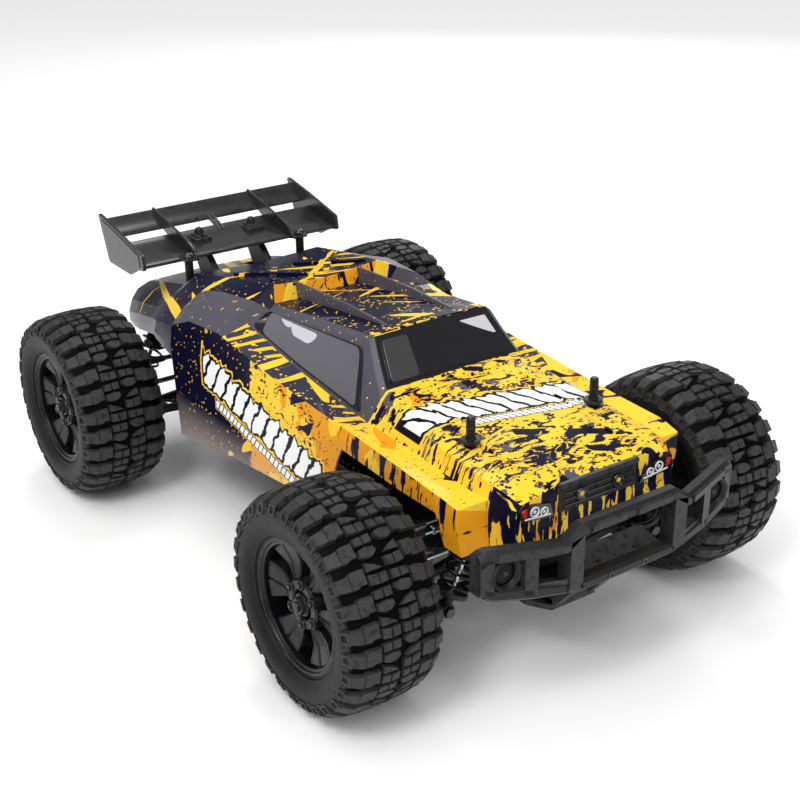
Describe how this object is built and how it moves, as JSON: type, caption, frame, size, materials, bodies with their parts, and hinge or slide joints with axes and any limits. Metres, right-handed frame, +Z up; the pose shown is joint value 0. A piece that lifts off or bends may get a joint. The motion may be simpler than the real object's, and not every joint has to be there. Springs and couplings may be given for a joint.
{
  "type": "rc buggy",
  "caption": "Four-wheel-drive radio-control off-road car with chunky tyres, sprung arms, steering, shaft drive, a painted truck-like shell, front bumper and rear wing.",
  "frame": {"origin": "centre of the bounding box in plan, on the ground plane the tyres stand on", "axes": "-Y is the front of the car, +X its left, +Z up"},
  "size_m": [0.314, 0.4646, 0.1736],
  "materials": {
    "painted_shell": "printed gloss film, navy with yellow, orange and grey",
    "black_nylon": "moulded satin",
    "moulded_grey": "moulded fine grain",
    "tyre_rubber": "matt",
    "rim_black": "satin black",
    "spring_steel": "black coated wire",
    "bright_steel": "bright turned",
    "motor_can": "satin",
    "battery_wrap": "shrink film"
  },
  "bodies": {
    "chassis": {"chassis_plate": "black_nylon", "front_gearbox": "black_nylon", "rear_gearbox": "black_nylon", "front_shock_tower": "black_nylon", "rear_shock_tower": "black_nylon", "front_body_posts": "black_nylon", "front_bumper": "moulded_grey", "body_shell": "painted_shell", "wing": "moulded_grey", "wing_mount": "black_nylon", "battery": "battery_wrap", "motor": "motor_can", "speed_controller": "black_nylon", "steering_servo": "black_nylon"},
    "motor_rotor": {"motor_pinion": "bright_steel"},
    "centre_shaft": {"centre_drive": "black_nylon"},
    "front_diff": {"front_differential": "bright_steel"},
    "rear_diff": {"rear_differential": "bright_steel"},
    "horn": {"servo_horn": "moulded_grey"},
    "drag_link": {"steering_link": "black_nylon"},
    "left_tie_rod": {"tie_rod_left": "bright_steel"},
    "right_tie_rod": {"tie_rod_right": "bright_steel"},
    "front_left_lower": {"front_left_lower_arm": "black_nylon"},
    "front_left_upper": {"front_left_upper_arm": "black_nylon"},
    "front_left_upright": {"front_left_c_hub": "black_nylon"},
    "front_left_steering_knuckle": {"front_left_knuckle": "black_nylon"},
    "front_left_wheel": {"front_left_rim": "rim_black", "front_left_tyre": "tyre_rubber"},
    "front_left_axle_shaft": {"front_left_drive_shaft": "bright_steel"},
    "front_left_damper": {"front_left_shock_body": "black_nylon", "front_left_spring": "spring_steel"},
    "front_left_damper_rod": {"front_left_shock_rod": "bright_steel"},
    "front_right_lower": {"front_right_lower_arm": "black_nylon"},
    "front_right_upper": {"front_right_upper_arm": "black_nylon"},
    "front_right_upright": {"front_right_c_hub": "black_nylon"},
    "front_right_steering_knuckle": {"front_right_knuckle": "black_nylon"},
    "front_right_wheel": {"front_right_rim": "rim_black", "front_right_tyre": "tyre_rubber"},
    "front_right_axle_shaft": {"front_right_drive_shaft": "bright_steel"},
    "front_right_damper": {"front_right_shock_body": "black_nylon", "front_right_spring": "spring_steel"},
    "front_right_damper_rod": {"front_right_shock_rod": "bright_steel"},
    "rear_left_lower": {"rear_left_lower_arm": "black_nylon"},
    "rear_left_upper": {"rear_left_upper_arm": "black_nylon"},
    "rear_left_upright": {"rear_left_hub_carrier": "black_nylon"},
    "rear_left_wheel": {"rear_left_rim": "rim_black", "rear_left_tyre": "tyre_rubber"},
    "rear_left_axle_shaft": {"rear_left_drive_shaft": "bright_steel"},
    "rear_left_damper": {"rear_left_shock_body": "black_nylon", "rear_left_spring": "spring_steel"},
    "rear_left_damper_rod": {"rear_left_shock_rod": "bright_steel"},
    "rear_right_lower": {"rear_right_lower_arm": "black_nylon"},
    "rear_right_upper": {"rear_right_upper_arm": "black_nylon"},
    "rear_right_upright": {"rear_right_hub_carrier": "black_nylon"},
    "rear_right_wheel": {"rear_right_rim": "rim_black", "rear_right_tyre": "tyre_rubber"},
    "rear_right_axle_shaft": {"rear_right_drive_shaft": "bright_steel"},
    "rear_right_damper": {"rear_right_shock_body": "black_nylon", "rear_right_spring": "spring_steel"},
    "rear_right_damper_rod": {"rear_right_shock_rod": "bright_steel"}
  },
  "joints": [
    {"name": "front_left_suspension", "type": "hinge", "parent": "chassis", "child": "front_left_lower", "pos_m": [0.028, -0.14347, 0.046], "axis": [0, -1, 0], "range_deg": [-11, 9], "stiffness_Nm_per_rad": 6, "springref_deg": -3.15},
    {"name": "front_left_upper_hinge", "type": "hinge", "parent": "chassis", "child": "front_left_upper", "pos_m": [0.028, -0.14347, 0.08], "axis": [0, -1, 0], "range_deg": [-11, 9]},
    {"name": "front_left_upright_hinge", "type": "hinge", "parent": "front_left_lower", "child": "front_left_upright", "pos_m": [0.092, -0.14347, 0.046], "axis": [0, -1, 0], "range_deg": [-9, 11]},
    {"name": "steering", "type": "hinge", "parent": "front_left_upright", "child": "front_left_steering_knuckle", "pos_m": [0.092, -0.14347, 0.0635], "axis": [0, 0, 1], "range_deg": [-20, 20]},
    {"name": "front_left_wheel_spin", "type": "hinge", "parent": "front_left_steering_knuckle", "child": "front_left_wheel", "pos_m": [0.1267, -0.14347, 0.0635], "axis": [1, 0, 0], "continuous": true},
    {"name": "front_left_shaft_spin", "type": "hinge", "parent": "front_left_lower", "child": "front_left_axle_shaft", "pos_m": [0.057, -0.14347, 0.0635], "axis": [1, 0, 0], "continuous": true},
    {"name": "front_left_damper_hinge", "type": "hinge", "parent": "chassis", "child": "front_left_damper", "pos_m": [0.046, -0.17347, 0.114], "axis": [0, -1, 0], "range_deg": [-3, 2.5]},
    {"name": "front_left_damper_travel", "type": "slide", "parent": "front_left_damper", "child": "front_left_damper_rod", "axis": [0.4244, 0, -0.9055], "range_m": [-0.0076, 0.0092], "deforming": ["front_left_spring"]},
    {"name": "left_tie_rod_hinge", "type": "hinge", "parent": "drag_link", "child": "left_tie_rod", "pos_m": [0.028, -0.12467, 0.073], "axis": [0, -1, 0], "range_deg": [-11, 9]},
    {"name": "front_right_suspension", "type": "hinge", "parent": "chassis", "child": "front_right_lower", "pos_m": [-0.028, -0.14347, 0.046], "axis": [0, 1, 0], "range_deg": [-11, 9], "stiffness_Nm_per_rad": 6, "springref_deg": -3.15},
    {"name": "front_right_upper_hinge", "type": "hinge", "parent": "chassis", "child": "front_right_upper", "pos_m": [-0.028, -0.14347, 0.08], "axis": [0, 1, 0], "range_deg": [-11, 9]},
    {"name": "front_right_upright_hinge", "type": "hinge", "parent": "front_right_lower", "child": "front_right_upright", "pos_m": [-0.092, -0.14347, 0.046], "axis": [0, 1, 0], "range_deg": [-9, 11]},
    {"name": "right_steering", "type": "hinge", "parent": "front_right_upright", "child": "front_right_steering_knuckle", "pos_m": [-0.092, -0.14347, 0.0635], "axis": [0, 0, 1], "range_deg": [-20, 20]},
    {"name": "front_right_wheel_spin", "type": "hinge", "parent": "front_right_steering_knuckle", "child": "front_right_wheel", "pos_m": [-0.1267, -0.14347, 0.0635], "axis": [1, 0, 0], "continuous": true},
    {"name": "front_right_shaft_spin", "type": "hinge", "parent": "front_right_lower", "child": "front_right_axle_shaft", "pos_m": [-0.057, -0.14347, 0.0635], "axis": [1, 0, 0], "continuous": true},
    {"name": "front_right_damper_hinge", "type": "hinge", "parent": "chassis", "child": "front_right_damper", "pos_m": [-0.046, -0.17347, 0.114], "axis": [0, 1, 0], "range_deg": [-3, 2.5]},
    {"name": "front_right_damper_travel", "type": "slide", "parent": "front_right_damper", "child": "front_right_damper_rod", "axis": [-0.4244, 0, -0.9055], "range_m": [-0.0076, 0.0092], "deforming": ["front_right_spring"]},
    {"name": "right_tie_rod_hinge", "type": "hinge", "parent": "drag_link", "child": "right_tie_rod", "pos_m": [-0.028, -0.12467, 0.073], "axis": [0, 1, 0], "range_deg": [-11, 9]},
    {"name": "rear_left_suspension", "type": "hinge", "parent": "chassis", "child": "rear_left_lower", "pos_m": [0.028, 0.16883, 0.046], "axis": [0, -1, 0], "range_deg": [-11, 9], "stiffness_Nm_per_rad": 6, "springref_deg": -3.15},
    {"name": "rear_left_upper_hinge", "type": "hinge", "parent": "chassis", "child": "rear_left_upper", "pos_m": [0.028, 0.16883, 0.08], "axis": [0, -1, 0], "range_deg": [-11, 9]},
    {"name": "rear_left_upright_hinge", "type": "hinge", "parent": "rear_left_lower", "child": "rear_left_upright", "pos_m": [0.092, 0.16883, 0.046], "axis": [0, -1, 0], "range_deg": [-9, 11]},
    {"name": "rear_left_wheel_spin", "type": "hinge", "parent": "rear_left_upright", "child": "rear_left_wheel", "pos_m": [0.1267, 0.16883, 0.0635], "axis": [1, 0, 0], "continuous": true},
    {"name": "rear_left_shaft_spin", "type": "hinge", "parent": "rear_left_lower", "child": "rear_left_axle_shaft", "pos_m": [0.057, 0.16883, 0.0635], "axis": [1, 0, 0], "continuous": true},
    {"name": "rear_left_damper_hinge", "type": "hinge", "parent": "chassis", "child": "rear_left_damper", "pos_m": [0.046, 0.19883, 0.114], "axis": [0, -1, 0], "range_deg": [-3, 2.5]},
    {"name": "rear_left_damper_travel", "type": "slide", "parent": "rear_left_damper", "child": "rear_left_damper_rod", "axis": [0.4244, 0, -0.9055], "range_m": [-0.0076, 0.0092], "deforming": ["rear_left_spring"]},
    {"name": "rear_right_suspension", "type": "hinge", "parent": "chassis", "child": "rear_right_lower", "pos_m": [-0.028, 0.16883, 0.046], "axis": [0, 1, 0], "range_deg": [-11, 9], "stiffness_Nm_per_rad": 6, "springref_deg": -3.15},
    {"name": "rear_right_upper_hinge", "type": "hinge", "parent": "chassis", "child": "rear_right_upper", "pos_m": [-0.028, 0.16883, 0.08], "axis": [0, 1, 0], "range_deg": [-11, 9]},
    {"name": "rear_right_upright_hinge", "type": "hinge", "parent": "rear_right_lower", "child": "rear_right_upright", "pos_m": [-0.092, 0.16883, 0.046], "axis": [0, 1, 0], "range_deg": [-9, 11]},
    {"name": "rear_right_wheel_spin", "type": "hinge", "parent": "rear_right_upright", "child": "rear_right_wheel", "pos_m": [-0.1267, 0.16883, 0.0635], "axis": [1, 0, 0], "continuous": true},
    {"name": "rear_right_shaft_spin", "type": "hinge", "parent": "rear_right_lower", "child": "rear_right_axle_shaft", "pos_m": [-0.057, 0.16883, 0.0635], "axis": [1, 0, 0], "continuous": true},
    {"name": "rear_right_damper_hinge", "type": "hinge", "parent": "chassis", "child": "rear_right_damper", "pos_m": [-0.046, 0.19883, 0.114], "axis": [0, 1, 0], "range_deg": [-3, 2.5]},
    {"name": "rear_right_damper_travel", "type": "slide", "parent": "rear_right_damper", "child": "rear_right_damper_rod", "axis": [-0.4244, 0, -0.9055], "range_m": [-0.0076, 0.0092], "deforming": ["rear_right_spring"]},
    {"name": "front_diff_spin", "type": "hinge", "parent": "chassis", "child": "front_diff", "pos_m": [0, -0.14347, 0.0635], "axis": [1, 0, 0], "continuous": true},
    {"name": "rear_diff_spin", "type": "hinge", "parent": "chassis", "child": "rear_diff", "pos_m": [0, 0.16883, 0.0635], "axis": [1, 0, 0], "continuous": true},
    {"name": "centre_shaft_spin", "type": "hinge", "parent": "chassis", "child": "centre_shaft", "pos_m": [0, 0.01268, 0.0635], "axis": [0, 1, 0], "continuous": true},
    {"name": "motor_spin", "type": "hinge", "parent": "chassis", "child": "motor_rotor", "pos_m": [-0.027, 0.09442, 0.0709], "axis": [0, 1, 0], "continuous": true},
    {"name": "drag_link_slide", "type": "slide", "parent": "chassis", "child": "drag_link", "axis": [1, 0, 0], "range_m": [-0.0076, 0.0076]},
    {"name": "servo_horn_turn", "type": "hinge", "parent": "chassis", "child": "horn", "pos_m": [0.016, -0.10247, 0.078], "axis": [0, 0, 1], "range_deg": [-20, 20]}
  ],
  "couplings": [
    {"joint": "front_left_upper_hinge", "follows": "front_left_suspension", "ratio": 1},
    {"joint": "front_left_upright_hinge", "follows": "front_left_suspension", "ratio": -1},
    {"joint": "front_left_shaft_spin", "follows": "front_left_wheel_spin", "ratio": 1},
    {"joint": "front_left_damper_hinge", "follows": "front_left_suspension", "ratio": 0.245},
    {"joint": "front_left_damper_travel", "follows": "front_left_suspension", "m_per_rad": -0.0452},
    {"joint": "left_tie_rod_hinge", "follows": "front_left_suspension", "ratio": 1},
    {"joint": "front_right_upper_hinge", "follows": "front_right_suspension", "ratio": 1},
    {"joint": "front_right_upright_hinge", "follows": "front_right_suspension", "ratio": -1},
    {"joint": "right_steering", "follows": "steering", "ratio": 1},
    {"joint": "front_right_wheel_spin", "follows": "front_left_wheel_spin", "ratio": 1},
    {"joint": "front_right_shaft_spin", "follows": "front_left_wheel_spin", "ratio": 1},
    {"joint": "front_right_damper_hinge", "follows": "front_right_suspension", "ratio": 0.245},
    {"joint": "front_right_damper_travel", "follows": "front_right_suspension", "m_per_rad": -0.0452},
    {"joint": "right_tie_rod_hinge", "follows": "front_right_suspension", "ratio": 1},
    {"joint": "rear_left_upper_hinge", "follows": "rear_left_suspension", "ratio": 1},
    {"joint": "rear_left_upright_hinge", "follows": "rear_left_suspension", "ratio": -1},
    {"joint": "rear_left_wheel_spin", "follows": "front_left_wheel_spin", "ratio": 1},
    {"joint": "rear_left_shaft_spin", "follows": "front_left_wheel_spin", "ratio": 1},
    {"joint": "rear_left_damper_hinge", "follows": "rear_left_suspension", "ratio": 0.245},
    {"joint": "rear_left_damper_travel", "follows": "rear_left_suspension", "m_per_rad": -0.0452},
    {"joint": "rear_right_upper_hinge", "follows": "rear_right_suspension", "ratio": 1},
    {"joint": "rear_right_upright_hinge", "follows": "rear_right_suspension", "ratio": -1},
    {"joint": "rear_right_wheel_spin", "follows": "front_left_wheel_spin", "ratio": 1},
    {"joint": "rear_right_shaft_spin", "follows": "front_left_wheel_spin", "ratio": 1},
    {"joint": "rear_right_damper_hinge", "follows": "rear_right_suspension", "ratio": 0.245},
    {"joint": "rear_right_damper_travel", "follows": "rear_right_suspension", "m_per_rad": -0.0452},
    {"joint": "front_diff_spin", "follows": "front_left_wheel_spin", "ratio": 1},
    {"joint": "rear_diff_spin", "follows": "front_left_wheel_spin", "ratio": 1},
    {"joint": "centre_shaft_spin", "follows": "front_left_wheel_spin", "ratio": 3.2},
    {"joint": "motor_spin", "follows": "front_left_wheel_spin", "ratio": -11.6},
    {"joint": "drag_link_slide", "follows": "steering", "m_per_rad": -0.0193},
    {"joint": "servo_horn_turn", "follows": "steering", "ratio": -1}
  ]
}
